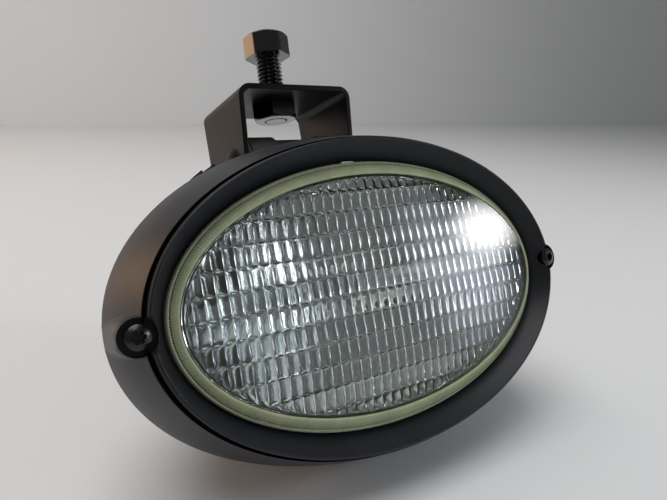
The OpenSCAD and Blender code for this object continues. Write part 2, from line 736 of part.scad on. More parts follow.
// Outline of the bent strap seen from the front, inset by the given amount
module strap_outline(inset) {
    half = leg_x - inset;
    top = bracket_h - inset;
    r = bend_r - inset;
    low = -leg_front - over - inset;
    translate([-half, low]) square([2 * half, top - r - low]);
    translate([-half + r, low]) square([2 * (half - r), top - low]);
    for (side = [-1, 1]) translate([side * (half - r), top - r]) circle(r = r);
}

// A solid as wide as the bracket, with the side view of a leg: it narrows towards a round
// end about the pivot
module leg_side() union() {
    rotate([90, 0, 90]) linear_extrude(bracket_w + 2, center = true)
        polygon([[plate_back - plate_d / 2, bracket_h], [plate_back + plate_d / 2, bracket_h],
            [leg_rear, 0], [leg_front * cos(45), -leg_front * sin(45)], [-leg_front, 0]]);
    rod_x(leg_front, -leg_x - 1, leg_x + 1);
}

module bracket() color(strap_black) in_bracket() difference() {
    intersection() {
        translate([0, plate_back, 0]) rotate([90, 0, 0])
            linear_extrude(plate_d + 2, center = true) difference() {
                strap_outline(0);
                strap_outline(strap_t);
            }
        leg_side();
    }
    rod_x(pivot_r + 0.25, -leg_x - over, leg_x + over);
    translate([0, plate_back, 0]) cylinder(h = bracket_h + over, r = bolt_d / 2 + 0.3);
}

module hexagon(af, h, turn)
    rotate([0, 0, turn]) cylinder(h = h, r = af / 2 / cos(30), $fn = 6);

module weld_nut() color(bolt_black) in_bracket() translate([0, plate_back, plate_low - nut_h])
    difference() {
        intersection() {
            hexagon(nut_af, nut_h, nut_turn);
            cylinder(h = nut_h, r1 = nut_af / 2 - gap, r2 = nut_af / 2 - gap + 1.7 * nut_h);
        }
        translate([0, 0, -over]) cylinder(h = nut_h + 2 * over, r = bolt_r);
    }

// A domed head at the left leg and a shank through both legs, the bush and the nut
module pivot_bolt() color(strap_black) in_bracket() {
    dome_r = (pivot_head_r ^ 2 + pivot_head_h ^ 2) / (2 * pivot_head_h);
    difference() {
        intersection() {
            rod_x(pivot_head_r, -leg_x - pivot_head_h, -leg_x);
            translate([-leg_x - pivot_head_h + dome_r, 0, 0]) sphere(r = dome_r);
        }
        rod_x(pivot_r * 0.75, -leg_x - pivot_head_h - over, -leg_x - pivot_head_h + 1.8,
            sides = 6);
    }
    rod_x(pivot_r, -leg_x, leg_x + pivot_washer_t + pivot_nut_h + 1.5);
}

module pivot_washer() color(zinc) in_bracket() difference() {
    rod_x(2 * pivot_r, leg_x, leg_x + pivot_washer_t);
    rod_x(pivot_r + 0.2, leg_x - over, leg_x + pivot_washer_t + over);
}

module pivot_nut() color(zinc) in_bracket() difference() {
    nut_x = leg_x + pivot_washer_t;
    rod_x(1.667 * pivot_r / cos(30), nut_x, nut_x + pivot_nut_h, sides = 6);
    rod_x(pivot_r + 0.03, nut_x - over, nut_x + pivot_nut_h + over);
}

module mounting_bolt() color(bolt_black) in_bracket() translate([0, plate_back, head_low]) {
    intersection() {
        hexagon(bolt_af, bolt_head_h, head_turn);
        cylinder(h = bolt_head_h, r1 = bolt_af / 2 - bolt_chamfer + 1.7 * bolt_head_h,
            r2 = bolt_af / 2 - bolt_chamfer);
    }
    translate([0, 0, -bolt_l]) cylinder(h = bolt_l, r = bolt_r - fit);
}

front_bezel();
lens();
lens_gasket();
reflector();
housing_seal();
rear_housing();
bezel_screws();
screw_inserts();
bulb_seat();
seat_rivets();
bulb_glass();
bulb_filament();
bulb_base();
bulb_clip();
bulb_lead();
earth_lead();
lead_terminals();
power_socket();
socket_pins();
socket_seal();
socket_screws();
breather_plug();
pivot_bush();
friction_washers();
bracket();
weld_nut();
pivot_bolt();
pivot_washer();
pivot_nut();
mounting_bolt();
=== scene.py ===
# %% [markdown]
# # An oval work light for a tractor cab
# This lesson dresses a work light: an oval head with a fluted glass in an olive gasket, held by
# two screws in a black bezel, with a moulded housing behind it and a bent steel bracket on top
# that carries a big mounting bolt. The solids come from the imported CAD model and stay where
# they are. Each part that shows gets either a finer surface of its own or a better finish.

# %% Load the solids
import json
import math

import bmesh
import bpy
import numpy as np
from mathutils import Matrix, Vector

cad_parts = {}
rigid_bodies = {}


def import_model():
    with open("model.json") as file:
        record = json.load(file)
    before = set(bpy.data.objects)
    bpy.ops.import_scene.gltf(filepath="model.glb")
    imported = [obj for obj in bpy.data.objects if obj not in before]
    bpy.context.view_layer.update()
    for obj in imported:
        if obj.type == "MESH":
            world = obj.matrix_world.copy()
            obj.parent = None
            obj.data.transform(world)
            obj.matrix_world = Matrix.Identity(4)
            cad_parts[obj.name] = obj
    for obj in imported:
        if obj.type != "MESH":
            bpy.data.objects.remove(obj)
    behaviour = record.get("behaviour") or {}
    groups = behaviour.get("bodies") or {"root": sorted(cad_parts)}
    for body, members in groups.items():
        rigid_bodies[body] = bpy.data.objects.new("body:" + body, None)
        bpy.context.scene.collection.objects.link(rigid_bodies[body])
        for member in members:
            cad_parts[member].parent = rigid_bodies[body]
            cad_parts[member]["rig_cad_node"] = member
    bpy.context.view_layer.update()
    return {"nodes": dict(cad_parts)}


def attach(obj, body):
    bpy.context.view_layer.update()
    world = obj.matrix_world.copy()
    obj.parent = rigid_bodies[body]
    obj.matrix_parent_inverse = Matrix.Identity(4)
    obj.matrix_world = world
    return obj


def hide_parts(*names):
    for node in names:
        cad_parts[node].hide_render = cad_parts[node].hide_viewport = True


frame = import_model()
nodes = frame["nodes"]

# %% [markdown]
# ## Two places to draw in
# The lamp head is easiest to describe upright, in millimetres: x runs across the oval, y goes
# back from the crest of the bezel, and z goes up. The lamp leans back on the table until its
# skirt and its power socket touch it. The bracket has a place of its own too, with the
# pivot at its origin. So each shape is worked out in its own place, and one function turns
# all its points at once into the metres of the whole model.

# %% Lean a point as the lamp leans
window_a, window_b, window_y = 65, 39.6, 8
crest_a, crest_b = window_a + 5, window_b + 6
rim_a, rim_b, rim_y = crest_a + 7, crest_b + 6.5, 26.6
socket_low, socket_end = -24.5, 91.9
pivot_y, pivot_z, bracket_lean = 52.2, 50.4, math.radians(4.5)
plate_d, plate_back, bracket_h = 41.2, 8.3, 27.1

lean = math.atan2(socket_low + rim_b, socket_end - rim_y)
table_z = -rim_y * math.sin(lean) - rim_b * math.cos(lean)
front_y = -(crest_b - 0.2) * math.sin(lean) + 0.25 * math.cos(lean)
back_y = (pivot_y * math.cos(lean) + pivot_z * math.sin(lean)
    + (plate_d / 2 + plate_back) * math.cos(lean - bracket_lean)
    + bracket_h * math.sin(lean - bracket_lean))
middle_y = (front_y + back_y) / 2


def in_head(points):
    """Millimetres in the upright lamp to metres in the model: y and z turn by the lean, then
    the lamp moves until the table is at height zero."""
    x, y, z = np.moveaxis(np.asarray(points, float), -1, 0)
    turned = [x, y * math.cos(lean) + z * math.sin(lean) - middle_y,
        z * math.cos(lean) - y * math.sin(lean) - table_z]
    return np.stack(turned, -1) / 1000


def in_bracket(points):
    """Millimetres round the pivot to metres in the model: y and z turn by the bracket's own
    lean, move to the pivot, and lean with the head."""
    x, y, z = np.moveaxis(np.asarray(points, float), -1, 0)
    c, s = math.cos(bracket_lean), math.sin(bracket_lean)
    return in_head(np.stack([x, pivot_y + y * c - z * s, pivot_z + y * s + z * c], -1))


print("the head leans back by", round(math.degrees(lean), 2), "degrees")

# %% [markdown]
# ## The camera
# The photograph was taken from the lamp's left, a little above its axis, from 16 cm away, so
# the left end of the oval looks much larger than the right. The place and the turn of the
# camera came from matching the oval, the two screws and the bracket.

# %% Set up the camera
focal, photo_width, sensor = 530, 667, 36
look = [(0.8535, -0.49356, -0.16711), (-0.12257, 0.12155, -0.98499), (0.50647, 0.86118, 0.04325)]
eye = in_head((-92.84, -126.225, 7.05))
right, down, ahead = [(in_head(axis) - in_head((0, 0, 0))) * 1000 for axis in look]
camera = bpy.data.objects.new("camera", bpy.data.cameras.new("camera"))
bpy.context.scene.collection.objects.link(camera)
turned = np.eye(4)
turned[:3, :3] = np.stack([right, -down, -ahead], 1)
turned[:3, 3] = eye
camera.matrix_world = Matrix(turned.tolist())
camera.data.sensor_width = sensor
camera.data.lens = focal / photo_width * sensor
camera.data.clip_start, camera.data.clip_end = 0.005, 50
bpy.context.scene.camera = camera
print("camera at", np.round(eye, 4))

# %% [markdown]
# ## Surfaces as grids of points
# Nearly every new piece here is a sheet with rows and columns of points, each worked out by a
# formula. A sheet can close on itself in either direction, like a tube or a ring. One function
# numbers the faces between the points, another joins sheets into a mesh, welds the seams,
# turns the faces outwards and marks the sharp edges.

# %% Turn sheets of points into a piece
def sheet(points, loop_rows=False, loop_columns=True):
    """Rows x columns x 3 points to (points, faces): each face joins a point to its right and
    upper neighbours, and a looped direction also joins its last line to its first."""
    points = np.asarray(points, float)
    rows, columns = points.shape[:2]
    number = np.arange(rows * columns).reshape(rows, columns)
    if loop_columns:
        number = np.concatenate([number, number[:, :1]], 1)
    if loop_rows:
        number = np.concatenate([number, number[:1]], 0)
    faces = np.stack([number[:-1, :-1], number[:-1, 1:], number[1:, 1:], number[1:, :-1]], -1)
    return points.reshape(-1, 3), faces.reshape(-1, 4)


def lid(ring):
    """A fan of faces from a ring of points to its middle, drawn as a sheet of two rows."""
    ring = np.asarray(ring, float)
    return sheet(np.stack([ring, np.broadcast_to(ring.mean(0), ring.shape)]))


def weld(mesh):
    """Merges points that lie on each other, drops empty faces and turns faces outwards."""
    b = bmesh.new()
    b.from_mesh(mesh)
    bmesh.ops.remove_doubles(b, verts=b.verts, dist=2e-6)
    bmesh.ops.dissolve_degenerate(b, edges=b.edges, dist=1e-7)
    bmesh.ops.recalc_face_normals(b, faces=b.faces)
    b.to_mesh(mesh)
    b.free()


def shade(mesh, sharp=35):
    """Smooth faces, with a crease wherever two of them meet at more than the given angle."""
    mesh.polygons.foreach_set("use_smooth", np.ones(len(mesh.polygons), bool))
    mesh.set_sharp_from_angle(angle=math.radians(sharp))


def in_lamp(thing):
    """The reverse of in_head: where each point of a mesh is in the upright lamp."""
    points = np.empty(len(thing.data.vertices) * 3)
    thing.data.vertices.foreach_get("co", points)
    x, y, z = points.reshape(-1, 3).T * 1000
    y, z = y + middle_y, z + table_z
    return x, y * math.cos(lean) - z * math.sin(lean), y * math.sin(lean) + z * math.cos(lean)


def joined(name, sheets, place):
    """Sheets as one object, with a function that puts their points in the model."""
    points = np.concatenate([place(p) for p, f in sheets])
    starts = np.cumsum([0] + [len(p) for p, f in sheets[:-1]])
    faces = np.concatenate([f + s for (p, f), s in zip(sheets, starts)])
    mesh = bpy.data.meshes.new(name)
    mesh.from_pydata(points.tolist(), [], faces.tolist())
    weld(mesh)
    thing = bpy.data.objects.new(name, mesh)
    bpy.context.scene.collection.objects.link(thing)
    return thing


def piece(name, sheets, place, body, replaces, sharp=35):
    """A joined shape that shows: it rides on a body and stands in for solids."""
    thing = joined(name, sheets, place)
    shade(thing.data, sharp)
    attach(thing, body)
    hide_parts(*replaces)
    print(name, len(thing.data.vertices), "points", len(thing.data.polygons), "faces")
    return thing


# %% [markdown]
# ## Ovals along a profile
# The bezel, gasket, glass and reflector are all swept round the same oval. A profile is a
# list of ovals, each given by its half width, half height and depth, exactly as in the CAD.
# Moulded plastic has no knife edges, so each corner of a profile is replaced by a small curve.

# %% Sweep a profile round the oval
def rounded(profile, reach=0.4, steps=5, loop=True):
    """Each corner becomes a curve from a point on the edge before it to one on the edge after
    it: (1-t)^2 start + 2t(1-t) corner + t^2 end, with the reach cut to 45% of each edge."""
    p = np.asarray(profile, float)
    reach = np.broadcast_to(reach, len(p))[:, None]
    before, after = np.roll(p, 1, 0) - p, np.roll(p, -1, 0) - p
    cut = [edge * np.minimum(reach / np.linalg.norm(edge, axis=1)[:, None], 0.45)
        for edge in (before, after)]
    t = np.linspace(0, 1, steps)[None, :, None]
    start, end = (p + cut[0])[:, None], (p + cut[1])[:, None]
    curve = (1 - t) ** 2 * start + 2 * t * (1 - t) * p[:, None] + t ** 2 * end
    if not loop:
        curve[0], curve[-1] = p[0], p[-1]
    return curve.reshape(-1, 3)


def around(count):
    """Equal steps of angle round a full turn."""
    return np.linspace(0, 2 * math.pi, count, endpoint=False)


def round_oval(profile, u):
    """Point = (a cos u, y, b sin u) for each oval (a, b, y) of the profile and angle u."""
    a, b, y = np.asarray(profile, float).T[:, :, None]
    return np.stack([a * np.cos(u), y + 0 * u, b * np.sin(u)], -1)


# %% [markdown]
# ## The bezel
# The bezel is one moulded piece: a sloping face, a crest, a narrow groove and a wide skirt that
# flares back over the housing. At each end of the oval a round recess takes a screw head, and
# behind it the skirt swells into a boss. The ring is a swept profile whose columns crowd
# together near the screws. There a smooth maximum blends the skirt with the round boss, so that
# no crease shows between them, and one Boolean per screw cuts the recess and the hole.

# %% Make the bezel
lip_y, recess_y, recess_r, boss_flare, screw_x = 1.7, 4.7, 4.65, 0.8, crest_a + 2
pocket_a, pocket_b, pocket_y = window_a + 2.4, window_b + 2.4, window_y + 1.8
glass_y = pocket_y + 1.6
glass_back_y = glass_y + 4
flange_y = glass_back_y + 1.6
ledge_y, seal_y = flange_y + 1.5, flange_y - 0.6


def skirt(share):
    """From the groove to the rim in a straight line, with a bulge of 0.7 mm half way."""
    start, bulge = np.array([crest_a + 1.2, crest_b + 0.5]), 0.7
    a, b = start + ([rim_a, rim_b] - start) * share + bulge * math.sin(math.pi * share)
    return a, b, lip_y + (rim_y - 0.6 - lip_y) * share


def turned_piece(profile, x, columns=64):
    """A round solid along y: point = (x + r cos u, y, r sin u) for each (r, y)."""
    u = around(columns) + 0.03
    r, y = np.asarray(profile, float).T[:, :, None]
    rings = np.stack([x + r * np.cos(u), y + 0 * u, r * np.sin(u)], -1)
    return [sheet(rings), lid(rings[0]), lid(rings[-1])]


def carve(thing, tools):
    """Cuts each tool out of a thing with a Boolean, and removes the tools."""
    for tool in tools:
        change = thing.modifiers.new("cut", "BOOLEAN")
        change.operation, change.object, change.solver = "DIFFERENCE", tool, "EXACT"
    bpy.context.view_layer.update()
    done = bpy.data.meshes.new_from_object(
        thing.evaluated_get(bpy.context.evaluated_depsgraph_get()))
    thing.modifiers.clear()
    thing.data = done
    for tool in tools:
        bpy.data.objects.remove(tool)
    weld(done)
    shade(done)


def boss_bulge(ring, blend=0.9):
    """Smooth maximum of the skirt and the boss: the boss stands out to screw_x +
    sqrt(R^2 - z^2), its radius R grows towards the rim, and h blends over a width of blend."""
    x, y, z = ring[..., 0], ring[..., 1], abs(ring[..., 2])
    radius = recess_r + 0.1 + 0.4 * np.clip((y - 3.5) / 1.5, 0, 1) - 3 * np.maximum(3.3 - y, 0)
    radius = radius + (boss_flare - 0.3) * np.clip((y - recess_y) / (rim_y - recess_y), 0, 1)
    boss = screw_x + np.sqrt(np.maximum(radius ** 2 - z ** 2, 0)) - 4 * np.maximum(z - radius, 0)
    h = np.clip(0.5 + 0.5 * (boss - abs(x)) / blend, 0, 1)
    wide = abs(x) * (1 - h) + boss * h + blend * h * (1 - h)
    wide = np.minimum(wide, np.maximum(rim_a - 0.15, abs(x)))
    return np.stack([np.sign(x) * wide, ring[..., 1], ring[..., 2]], -1)


face = [(crest_a - 0.9, crest_b - 0.9, 0), (crest_a - 0.2, crest_b - 0.2, 0.25),
    (crest_a, crest_b, 0.9), (crest_a + 0.1, crest_b + 0.1, 6), (crest_a + 0.9, crest_b + 0.35, 6)]
back = [(rim_a - 0.3, rim_b - 0.3, rim_y), (rim_a - 2.3, rim_b - 2.3, rim_y),
    (rim_a - 4.5, rim_b - 4.2, seal_y), (pocket_a, pocket_b, seal_y),
    (pocket_a, pocket_b, pocket_y), (window_a + 0.3, window_b + 0.3, pocket_y),
    (window_a, window_b, window_y)]
skirt_steps, corner_steps = 15, 4
skirt_line = [skirt(share) for share in np.linspace(0, 1, skirt_steps)]
even = around(720)
ring = round_oval(rounded(face + skirt_line + back, 0.35, corner_steps),
    even - 0.4 * np.sin(2 * even))
skirt_rows = slice(corner_steps * len(face) + 2, corner_steps * (len(face) + skirt_steps))
ring[skirt_rows] = boss_bulge(ring[skirt_rows])
bezel = piece("bezel_moulding", [sheet(ring, loop_rows=True)], in_head, "lamp_head",
    ["front_bezel"])

recess = [(recess_r + 0.4, -1), (recess_r + 0.4, 0.3), (recess_r, 1.1), (recess_r, recess_y),
    (1.95, recess_y), (1.95, rim_y + 1)]
carve(bezel, [joined("recess", turned_piece(recess, side * screw_x), in_head)
    for side in (-1, 1)])
x, y, z = in_lamp(bezel)
print("bezel:", len(bezel.data.polygons), "faces after carving,",
    "x", np.round([x.min(), x.max()], 2), "y", np.round([y.min(), y.max()], 2))

# %% [markdown]
# ## The pressed glass
# The outside of the glass is a smooth shallow dome. Its inside is pressed into rows of small
# upright barrels that spread the light, 38 across and 12 up. Bump mapping can't bend what is
# seen through glass well enough, so the barrels are real: the inner face is a grid whose lines
# follow the barrels' edges, and each row of it stops at the oval.

# %% Press the glass
glass_a, glass_b, glass_face_y, glass_dome, bevel_y = 61.5, 34.5, 3.9, 2.6, window_y + 0.9
bevel_a, bevel_b = window_a - 1.4, window_b - 1.4
flute_a, flute_b, flute_w, flute_h, flute_z = 60.6, 34.2, 3.15, 6.0, 0.1
flute_sag, glass_wall = 0.6, 1.8


def dome(x, z):
    """The outside of the glass: y = edge - dome (1 - s^2), s being the share of the oval."""
    share = (x / glass_a) ** 2 + (z / glass_b) ** 2
    return glass_face_y - glass_dome * (1 - share)


def flute(x, z):
    """One barrel is a parabola across and a flat-topped eighth power along its height:
    sag (1 - (2u)^2)(1 - (2w)^8), with u and w the place in the cell from -1/2 to 1/2."""
    u = x / flute_w - np.round(x / flute_w)
    w = (z - flute_z) / flute_h - np.floor((z - flute_z) / flute_h) - 0.5
    return flute_sag * (1 - (2 * u) ** 2) * (1 - (2 * w) ** 8)


in_cell = np.array([-0.5, -0.44, -0.32, -0.16, 0, 0.16, 0.32, 0.44])
cell_xs = ((np.arange(-20, 21)[:, None] + in_cell) * flute_w).ravel()
in_cell = np.array([0, 0.02, 0.05, 0.1, 0.18, 0.35, 0.65, 0.82, 0.9, 0.95, 0.98])
row_zs = flute_z + ((np.arange(-7, 7)[:, None] + in_cell) * flute_h).ravel()
end_zs = flute_b * np.sin(np.radians([78, 81, 84, 86, 88, 90]))
row_zs = np.concatenate([row_zs[abs(row_zs) < end_zs[0] - 0.1], end_zs, -end_zs])
row_zs.sort()
reach = flute_a * np.sqrt(np.maximum(0, 1 - (row_zs / flute_b) ** 2))
xs = np.clip(cell_xs[None, :], -reach[:, None], reach[:, None])
zs = np.broadcast_to(row_zs[:, None], xs.shape)
edge = 1 - (xs / flute_a) ** 2 - (zs / flute_b) ** 2
fading = np.clip(edge / 0.03, 0, 1)
inner = np.stack([xs, dome(xs, zs) + glass_wall + flute(xs, zs) * fading, zs], -1)
rim_turn = np.arcsin(np.clip(row_zs / flute_b, -1, 1))
rim_turn = np.concatenate([rim_turn, math.pi - rim_turn[-2:0:-1]])

shares = np.sin(np.linspace(0, math.pi / 2, 24))
outer = [(glass_a * s, glass_b * s, glass_face_y - glass_dome * (1 - s * s)) for s in shares]
sides = rounded([(glass_a, glass_b, glass_face_y), (bevel_a, bevel_b, bevel_y),
    (bevel_a, bevel_b, glass_y), (window_a + 0.7, window_b + 0.7, glass_y),
    (window_a + 0.7, window_b + 0.7, glass_back_y), (bevel_a - 2.2, bevel_b - 2.2, glass_back_y),
    (flute_a, flute_b, glass_face_y + glass_wall)], 0.3, 3, loop=False)
shell = round_oval(outer + sides.tolist()[3:], rim_turn)
shell[-1, :, 1] = dome(shell[-1, :, 0], shell[-1, :, 2]) + glass_wall
glass = piece("pressed_glass", [sheet(shell), sheet(inner, loop_columns=False)], in_head,
    "lamp_head", ["lens"], sharp=50)

# %% [markdown]
# ## The olive gasket
# A silicone ring grips the rim of the glass and turns forward over its bevel, so an olive band
# shows all round. It slopes back from the glass to a lip, with a groove before the lip, and a
# tab sits at the top. Fine ribs across it are a small wave on the depth of the profile. Where
# the lip, the groove and the rib valleys are is stored at each point for the rubber. The lip
# is painted paler as painted light and made glossier. The groove and the rib valleys on the
# upper part are painted darker as painted shade.

# %% Mould the gasket
cuff_start = 0.1
tip_a = glass_a + (bevel_a - glass_a) * cuff_start + 0.1
tip_b = glass_b + (bevel_b - glass_b) * cuff_start + 0.1
tip_y = glass_face_y + (bevel_y - glass_face_y) * cuff_start
neck_a, neck_b = window_a - 0.2, window_b - 0.2
groove_a, groove_b = window_a + 0.8, window_b + 0.8
mouth_a, mouth_b = pocket_a - 6.9, pocket_b - 6.9
band = [(0, 4.25), (0.07, 3.95), (0.2, 4.0), (0.45, 4.5), (0.69, 5.2), (0.725, 5.8),
    (0.76, 5.7), (0.82, 5.4), (0.92, 5.6), (1, 6.3)]
gasket_profile = [(tip_a + (neck_a - tip_a) * share, tip_b + (neck_b - tip_b) * share, y)
    for share, y in band]
gasket_profile += [(neck_a, neck_b, pocket_y), (pocket_a - 0.1, pocket_b - 0.1, pocket_y),
    (pocket_a - 0.1, pocket_b - 0.1, flange_y),
    (mouth_a, mouth_b, flange_y), (mouth_a, mouth_b, glass_back_y),
    (groove_a, groove_b, glass_back_y), (groove_a, groove_b, glass_y),
    (bevel_a + 0.1, bevel_b + 0.1, glass_y), (bevel_a + 0.1, bevel_b + 0.1, bevel_y),
    (tip_a, tip_b, tip_y)]
rib_count = 366
turns = around(4 * rib_count)
ribs = np.cos(turns * rib_count)
ring = round_oval(rounded(gasket_profile, 0.12, 3), turns)
across = (ring[:, :1, 0] - tip_a) / (neck_a - tip_a)
on_band = (ring[:, :1, 1] < 6.2) & (across > 0.15)
in_groove = on_band & (across > 0.68) & (across < 0.88)
ring[:, :, 1] += (0.07 * on_band + 0.1 * in_groove) * ribs
tab = np.array([[-7.4, window_y - 2.1, window_b - 2.2], [-3, window_y - 0.9, window_b - 0.1]])
corner = rounded([(0, 0, 0), (1, 0, 0), (1, 0, 1), (0, 0, 1)], 0.16, 5)
tab_rows = np.stack([corner, corner + (0, 1, 0)]) * (tab[1] - tab[0]) + tab[0]
gasket = piece("olive_gasket", [sheet(ring, loop_rows=True), sheet(tab_rows),
    lid(tab_rows[0]), lid(tab_rows[1])], in_head, "lamp_head", ["lens_gasket"], sharp=60)


def mark(thing, name, values):
    """Stores a number from 0 to 1 at each point, for a material to read by its name."""
    thing.data.attributes.new(name, "FLOAT", "POINT").data.foreach_set("value", values)


x, y, z = in_lamp(gasket)
turn = np.arctan2(z / neck_b, x / neck_a)
share = (np.hypot(x, z) / np.hypot(neck_a * np.cos(turn), neck_b * np.sin(turn)) - 1) * 21 + 1
# Painted light: the lip is stored to be painted paler, and it is also made glossier.
mark(gasket, "lip", np.clip((share - 0.75) * 14, 0, 1) * (y < 8.3))
# Painted shade: the groove, and the rib valleys on the upper part, rising towards the top, are
# stored to be painted darker.
painted_tick_shade = (np.cos(turn * rib_count) < -0.5) * (abs(share - 0.5) < 0.17) * (z > 0) * (y < 6.2)
mark(gasket, "groove", np.maximum(np.clip(1 - abs(share - 0.725) * 22, 0, 1) * (y > 5),
    painted_tick_shade * np.clip((z - 20) / 30, 0, 0.4)))
print("lip on", round(float(np.mean(share > 0.74)), 2), "of the gasket's points")

# %% [markdown]
# ## The reflector
# Behind the glass a pressed bowl, bright inside, opens forward as a paraboloid on an oval
# mouth. A paraboloid is a profile whose depth falls with the square of the width, so it is
# one more sweep: from the bulb hole out to the mouth, round the flat rim, and back outside.

# %% Press the reflector
bowl_depth, bowl_t, bulb_hole_r, bowl_start = 40.4, 1.5, 6.4, 0.28
vertex_y = flange_y + bowl_depth
bowl_back_y = vertex_y - bowl_depth * bowl_start ** 2 + bowl_t
shares = np.linspace(bowl_start, 1, 40)
inside = [(mouth_a * s, mouth_b * s, vertex_y - bowl_depth * s * s) for s in shares]
outside = [(a + bowl_t, b + bowl_t, y + bowl_t) for a, b, y in inside[::-1]]
rim = [(pocket_a - 0.4, pocket_b - 0.4, flange_y), (pocket_a - 0.4, pocket_b - 0.4, ledge_y)]
hole = [(bulb_hole_r, bulb_hole_r, bowl_back_y), (bulb_hole_r, bulb_hole_r, bowl_back_y - bowl_t)]
bowl = round_oval(inside + rim + outside + hole, around(192))
reflector = piece("bright_reflector", [sheet(bowl, loop_rows=True)], in_head, "lamp_head",
    ["reflector"])

# %% [markdown]
# ## The filament
# The bulb's filament is a tight coil of tungsten between two support wires. A round wire along
# any path is a tube: at each point of the path a circle stands square to the way ahead.

# %% Wind the filament
def tube(path, radius, sides=8):
    """Circle = point + radius (cos u across + sin u over), where across and over are square
    to the path's own direction, which is the difference of the points beside it."""
    path = np.asarray(path, float)
    ahead = np.gradient(path, axis=0)
    ahead /= np.linalg.norm(ahead, axis=1)[:, None]
    spare = np.where(abs(ahead[:, 1:2]) < 0.9, (0, 1, 0), (1, 0, 0))
    across = np.cross(ahead, spare)
    across /= np.linalg.norm(across, axis=1)[:, None]
    over = np.cross(ahead, across)
    u = around(sides)[None, :, None]
    rings = path[:, None] + radius * (np.cos(u) * across[:, None] + np.sin(u) * over[:, None])
    return [sheet(rings), lid(rings[0]), lid(rings[-1])]


filament_y = bowl_back_y + 1 - 18
t = np.linspace(0, 1, 260)
coil = np.stack([-2.4 + 4.8 * t, filament_y + 0.5 * np.cos(22 * math.pi * t),
    0.5 * np.sin(22 * math.pi * t)], -1)
legs = [np.array([(side * 2.2, filament_y + 0.45, 0), (side * 2.2, filament_y + 4, 0),
    (side * 2.2, bowl_back_y - 5, 0)]) for side in (-1, 1)]
filament = piece("filament_coil", tube(coil, 0.11) + tube(legs[0], 0.3) + tube(legs[1], 0.3),
    in_head, "lamp_head", ["bulb_filament"], sharp=60)

# %% [markdown]
# ## The mounting bolt
# The big bolt on top has a chamfered hexagon head and a rolled thread. A hexagon is a circle
# whose radius depends on the angle, and the chamfer trims it with a cone. The thread is a
# ridge that climbs by one pitch in each turn, so its radius depends on height and angle.

# %% Turn the mounting bolt
bolt_d, bolt_l, bolt_af, bolt_head_h, pitch = 10, 25, 16, 8.6, 1.5
head_low = bracket_h + 16.8


def hexagon(turns, across_flats, corner=0.45):
    """Distance from the middle to the flat at each angle, with slightly rounded corners."""
    part = (turns - math.radians(37)) % (math.pi / 3) - math.pi / 6
    flat = across_flats / 2 / np.cos(part)
    return np.minimum(flat, across_flats / 2 / math.cos(math.pi / 6) - corner)


def hex_solid(across_flats, height, columns=144, chamfer=1.0):
    """Radius = the smaller of the hexagon and a cone that leaves the end face round."""
    u = around(columns)
    z = np.concatenate([np.linspace(0, 0.25, 5), np.linspace(0.3, 0.7, 3),
        1 - np.linspace(0.25, 0, 11)]) * height
    cone = across_flats / 2 - chamfer + 1.7 * (height - z)
    r = np.minimum(hexagon(u, across_flats)[None, :], cone[:, None])
    return np.stack([r * np.cos(u), r * np.sin(u), z[:, None] + 0 * r], -1)


def thread(diameter, pitch, z0, z1, columns=144, lead_in=1.2):
    """Radius = mean + depth (a clipped triangle wave of z / pitch - angle / turn), fading to
    the core at the end of the shank."""
    u = around(columns)
    z = np.linspace(z0, z1, int((z1 - z0) / pitch * 10) + 1)[:, None]
    wave = 2 * abs(2 * ((z / pitch - u / (2 * math.pi)) % 1) - 1) - 1
    depth = 0.3 * pitch
    r = diameter / 2 - depth + depth * np.clip(1.25 * wave, -1, 1)
    r = np.minimum(r, diameter / 2 - 2 * depth - 0.2 + (z - z0) / lead_in * 2 * depth)
    return np.stack([r * np.cos(u), r * np.sin(u), z + 0 * r], -1)


def stood(points):
    """Moves a shape that was drawn round the origin to the bolt's axis in the bracket."""
    return in_bracket(np.asarray(points) + (0, plate_back, head_low))


head = hex_solid(bolt_af, bolt_head_h)
dished = head[-1:] * (0.9, 0.9, 1) - (0, 0, 0.25)
shank = thread(bolt_d - 0.15, pitch, -bolt_l, -0.4)
collar = np.stack([shank[-1] * (1, 1, 0) + (0, 0, -0.3), shank[-1] * (1.12, 1.12, 0)])
bolt = piece("hex_bolt", [sheet(np.concatenate([head, dished])), lid(dished[0]),
    sheet(np.concatenate([shank, collar, head[:1]])), lid(shank[0])], stood,
    "mounting_bolt", ["mounting_bolt"], sharp=25)

# %% [markdown]
# ## The solids that stay
# The housing, the bracket and the small parts keep their CAD shapes, so their meshes aren't
# touched. Modifiers weld the loose triangles, merge the flat ones, round the edges a little
# and shade the curved faces smoothly, as moulded plastic and bent steel look.

# %% Smooth the solids that stay
def smooth_group(sharp=35):
    """Geometry nodes: all faces smooth, and an edge stays sharp where its faces' angle is
    larger than the given one."""
    group = bpy.data.node_groups.new("smooth_faces", "GeometryNodeTree")
    for way in ("INPUT", "OUTPUT"):
        group.interface.new_socket("Geometry", in_out=way, socket_type="NodeSocketGeometry")
    make = group.nodes.new
    start, end = make("NodeGroupInput"), make("NodeGroupOutput")
    angle, compare = make("GeometryNodeInputMeshEdgeAngle"), make("FunctionNodeCompare")
    compare.data_type, compare.operation = "FLOAT", "LESS_THAN"
    compare.inputs[1].default_value = math.radians(sharp)
    faces, edges = make("GeometryNodeSetShadeSmooth"), make("GeometryNodeSetShadeSmooth")
    faces.domain, edges.domain = "FACE", "EDGE"
    group.links.new(start.outputs[0], faces.inputs[0])
    group.links.new(faces.outputs[0], edges.inputs[0])
    group.links.new(angle.outputs[0], compare.inputs[0])
    group.links.new(compare.outputs[0], edges.inputs["Shade Smooth"])
    group.links.new(edges.outputs[0], end.inputs[0])
    return group


smooth_faces = smooth_group()


